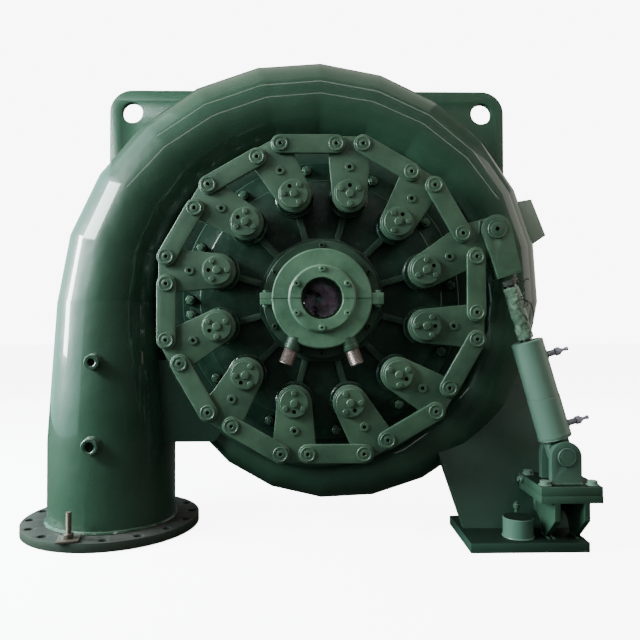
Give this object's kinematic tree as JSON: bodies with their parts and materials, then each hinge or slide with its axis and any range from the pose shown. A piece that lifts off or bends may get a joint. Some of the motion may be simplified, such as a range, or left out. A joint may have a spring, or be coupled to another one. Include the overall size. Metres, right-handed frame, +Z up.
{
  "type": "francis turbine",
  "caption": "Horizontal-shaft Francis turbine: spiral casing on its inlet pipe, head cover, guide vanes with levers and links in a ring, and a servo cylinder that turns them.",
  "frame": {"origin": "under the middle of the bounding box, on the floor", "axes": "X to the right seen from the linkage side, Y along the turbine's axis and away from the linkage side, Z up"},
  "size_m": [1.78, 0.6076, 1.5384],
  "materials": {
    "green_paint": "satin green paint",
    "casing_green": "glossy dark green paint",
    "cast_green": "rough dark green cast surface",
    "copper": "dull reddish copper",
    "bright_steel": "bright machined steel"
  },
  "bodies": {
    "turbine": {"back_plate": "green_paint", "base_plate": "green_paint", "bracket_table": "green_paint", "drain_pipe_left": "copper", "drain_pipe_right": "copper", "head_cover": "cast_green", "inlet_flange": "casing_green", "inlet_pipe": "casing_green", "leg_plate": "green_paint", "levelling_pad": "green_paint", "lower_socket": "green_paint", "nose_web": "green_paint", "rear_cover": "casing_green", "seal_cover": "green_paint", "seal_housing": "green_paint", "side_lug": "green_paint", "spiral_casing_1": "casing_green", "spiral_casing_2": "casing_green", "spiral_casing_3": "casing_green", "spiral_casing_4": "casing_green", "spiral_casing_5": "casing_green", "spiral_casing_6": "casing_green", "spiral_casing_7": "casing_green", "stay_ring": "casing_green", "trunnion_bracket": "green_paint", "trunnion_pin": "green_paint", "upper_socket": "green_paint"},
    "drive_lever": {"drive_lever": "green_paint"},
    "lever_02": {"lever_02": "green_paint"},
    "lever_03": {"lever_03": "green_paint"},
    "lever_04": {"lever_04": "green_paint"},
    "lever_05": {"lever_05": "green_paint"},
    "lever_06": {"lever_06": "green_paint"},
    "lever_07": {"lever_07": "green_paint"},
    "lever_08": {"lever_08": "green_paint"},
    "lever_09": {"lever_09": "green_paint"},
    "lever_10": {"lever_10": "green_paint"},
    "lever_11": {"lever_11": "green_paint"},
    "lever_12": {"lever_12": "green_paint"},
    "link_01": {"link_01": "green_paint"},
    "link_02": {"link_02": "green_paint"},
    "link_03": {"link_03": "green_paint"},
    "link_04": {"link_04": "green_paint"},
    "link_05": {"link_05": "green_paint"},
    "link_06": {"link_06": "green_paint"},
    "link_07": {"link_07": "green_paint"},
    "link_08": {"link_08": "green_paint"},
    "link_09": {"link_09": "green_paint"},
    "link_10": {"link_10": "green_paint"},
    "link_11": {"link_11": "green_paint"},
    "link_12": {"link_12": "green_paint"},
    "servo_cylinder": {"servo_cylinder": "green_paint", "upper_hose_nipple": "bright_steel", "lower_hose_nipple": "bright_steel"},
    "servo_rod": {"servo_rod": "bright_steel"}
  },
  "joints": [
    {"name": "drive_lever_swing", "type": "hinge", "parent": "turbine", "child": "drive_lever", "pos_m": [0.39608, -0.24375, 0.82045], "axis": [0, 1, 0], "range_deg": [0, 25]},
    {"name": "link_01_swing", "type": "hinge", "parent": "drive_lever", "child": "link_01", "pos_m": [0.50568, -0.24375, 0.93005], "axis": [0, 1, 0], "range_deg": [-25, 0]},
    {"name": "lever_02_swing", "type": "hinge", "parent": "turbine", "child": "lever_02", "pos_m": [0.31313, -0.24375, 0.96413], "axis": [0, 1, 0], "range_deg": [0, 25]},
    {"name": "link_02_swing", "type": "hinge", "parent": "lever_02", "child": "link_02", "pos_m": [0.35324, -0.24375, 1.11385], "axis": [0, 1, 0], "range_deg": [-25, 0]},
    {"name": "lever_03_swing", "type": "hinge", "parent": "turbine", "child": "lever_03", "pos_m": [0.16945, -0.24375, 1.04708], "axis": [0, 1, 0], "range_deg": [0, 25]},
    {"name": "link_03_swing", "type": "hinge", "parent": "lever_03", "child": "link_03", "pos_m": [0.12934, -0.24375, 1.1968], "axis": [0, 1, 0], "range_deg": [-25, 0]},
    {"name": "lever_04_swing", "type": "hinge", "parent": "turbine", "child": "lever_04", "pos_m": [0.00355, -0.24375, 1.04708], "axis": [0, 1, 0], "range_deg": [0, 25]},
    {"name": "link_04_swing", "type": "hinge", "parent": "lever_04", "child": "link_04", "pos_m": [-0.10605, -0.24375, 1.15668], "axis": [0, 1, 0], "range_deg": [-25, 0]},
    {"name": "lever_05_swing", "type": "hinge", "parent": "turbine", "child": "lever_05", "pos_m": [-0.14013, -0.24375, 0.96413], "axis": [0, 1, 0], "range_deg": [0, 25]},
    {"name": "link_05_swing", "type": "hinge", "parent": "lever_05", "child": "link_05", "pos_m": [-0.28985, -0.24375, 1.00425], "axis": [0, 1, 0], "range_deg": [-25, 0]},
    {"name": "lever_06_swing", "type": "hinge", "parent": "turbine", "child": "lever_06", "pos_m": [-0.22308, -0.24375, 0.82045], "axis": [0, 1, 0], "range_deg": [0, 25]},
    {"name": "link_06_swing", "type": "hinge", "parent": "lever_06", "child": "link_06", "pos_m": [-0.3728, -0.24375, 0.78034], "axis": [0, 1, 0], "range_deg": [-25, 0]},
    {"name": "lever_07_swing", "type": "hinge", "parent": "turbine", "child": "lever_07", "pos_m": [-0.22308, -0.24375, 0.65455], "axis": [0, 1, 0], "range_deg": [0, 25]},
    {"name": "link_07_swing", "type": "hinge", "parent": "lever_07", "child": "link_07", "pos_m": [-0.33268, -0.24375, 0.54495], "axis": [0, 1, 0], "range_deg": [-25, 0]},
    {"name": "lever_08_swing", "type": "hinge", "parent": "turbine", "child": "lever_08", "pos_m": [-0.14013, -0.24375, 0.51087], "axis": [0, 1, 0], "range_deg": [0, 25]},
    {"name": "link_08_swing", "type": "hinge", "parent": "lever_08", "child": "link_08", "pos_m": [-0.18024, -0.24375, 0.36115], "axis": [0, 1, 0], "range_deg": [-25, 0]},
    {"name": "lever_09_swing", "type": "hinge", "parent": "turbine", "child": "lever_09", "pos_m": [0.00355, -0.24375, 0.42792], "axis": [0, 1, 0], "range_deg": [0, 25]},
    {"name": "link_09_swing", "type": "hinge", "parent": "lever_09", "child": "link_09", "pos_m": [0.04367, -0.24375, 0.2782], "axis": [0, 1, 0], "range_deg": [-25, 0]},
    {"name": "lever_10_swing", "type": "hinge", "parent": "turbine", "child": "lever_10", "pos_m": [0.16945, -0.24375, 0.42792], "axis": [0, 1, 0], "range_deg": [0, 25]},
    {"name": "link_10_swing", "type": "hinge", "parent": "lever_10", "child": "link_10", "pos_m": [0.27905, -0.24375, 0.31832], "axis": [0, 1, 0], "range_deg": [-25, 0]},
    {"name": "lever_11_swing", "type": "hinge", "parent": "turbine", "child": "lever_11", "pos_m": [0.31313, -0.24375, 0.51087], "axis": [0, 1, 0], "range_deg": [0, 25]},
    {"name": "link_11_swing", "type": "hinge", "parent": "lever_11", "child": "link_11", "pos_m": [0.46285, -0.24375, 0.47075], "axis": [0, 1, 0], "range_deg": [-25, 0]},
    {"name": "lever_12_swing", "type": "hinge", "parent": "turbine", "child": "lever_12", "pos_m": [0.39608, -0.24375, 0.65455], "axis": [0, 1, 0], "range_deg": [0, 25]},
    {"name": "link_12_swing", "type": "hinge", "parent": "lever_12", "child": "link_12", "pos_m": [0.5458, -0.24375, 0.69466], "axis": [0, 1, 0], "range_deg": [-25, 0]},
    {"name": "servo_cylinder_swing", "type": "hinge", "parent": "turbine", "child": "servo_cylinder", "pos_m": [0.7985, -0.22075, 0.2705], "axis": [0, 1, 0], "range_deg": [0, 0.65]},
    {"name": "servo_rod_slide", "type": "slide", "parent": "servo_cylinder", "child": "servo_rod", "axis": [-0.2762, 0, 0.9611], "range_m": [-0.106, 0]}
  ],
  "couplings": [
    {"joint": "link_01_swing", "follows": "drive_lever_swing", "ratio": -1},
    {"joint": "lever_02_swing", "follows": "drive_lever_swing", "ratio": 1},
    {"joint": "link_02_swing", "follows": "drive_lever_swing", "ratio": -1},
    {"joint": "lever_03_swing", "follows": "drive_lever_swing", "ratio": 1},
    {"joint": "link_03_swing", "follows": "drive_lever_swing", "ratio": -1},
    {"joint": "lever_04_swing", "follows": "drive_lever_swing", "ratio": 1},
    {"joint": "link_04_swing", "follows": "drive_lever_swing", "ratio": -1},
    {"joint": "lever_05_swing", "follows": "drive_lever_swing", "ratio": 1},
    {"joint": "link_05_swing", "follows": "drive_lever_swing", "ratio": -1},
    {"joint": "lever_06_swing", "follows": "drive_lever_swing", "ratio": 1},
    {"joint": "link_06_swing", "follows": "drive_lever_swing", "ratio": -1},
    {"joint": "lever_07_swing", "follows": "drive_lever_swing", "ratio": 1},
    {"joint": "link_07_swing", "follows": "drive_lever_swing", "ratio": -1},
    {"joint": "lever_08_swing", "follows": "drive_lever_swing", "ratio": 1},
    {"joint": "link_08_swing", "follows": "drive_lever_swing", "ratio": -1},
    {"joint": "lever_09_swing", "follows": "drive_lever_swing", "ratio": 1},
    {"joint": "link_09_swing", "follows": "drive_lever_swing", "ratio": -1},
    {"joint": "lever_10_swing", "follows": "drive_lever_swing", "ratio": 1},
    {"joint": "link_10_swing", "follows": "drive_lever_swing", "ratio": -1},
    {"joint": "lever_11_swing", "follows": "drive_lever_swing", "ratio": 1},
    {"joint": "link_11_swing", "follows": "drive_lever_swing", "ratio": -1},
    {"joint": "lever_12_swing", "follows": "drive_lever_swing", "ratio": 1},
    {"joint": "link_12_swing", "follows": "drive_lever_swing", "ratio": -1},
    {"joint": "servo_cylinder_swing", "follows": "drive_lever_swing", "ratio": 0.025},
    {"joint": "servo_rod_slide", "follows": "drive_lever_swing", "m_per_rad": -0.24}
  ]
}
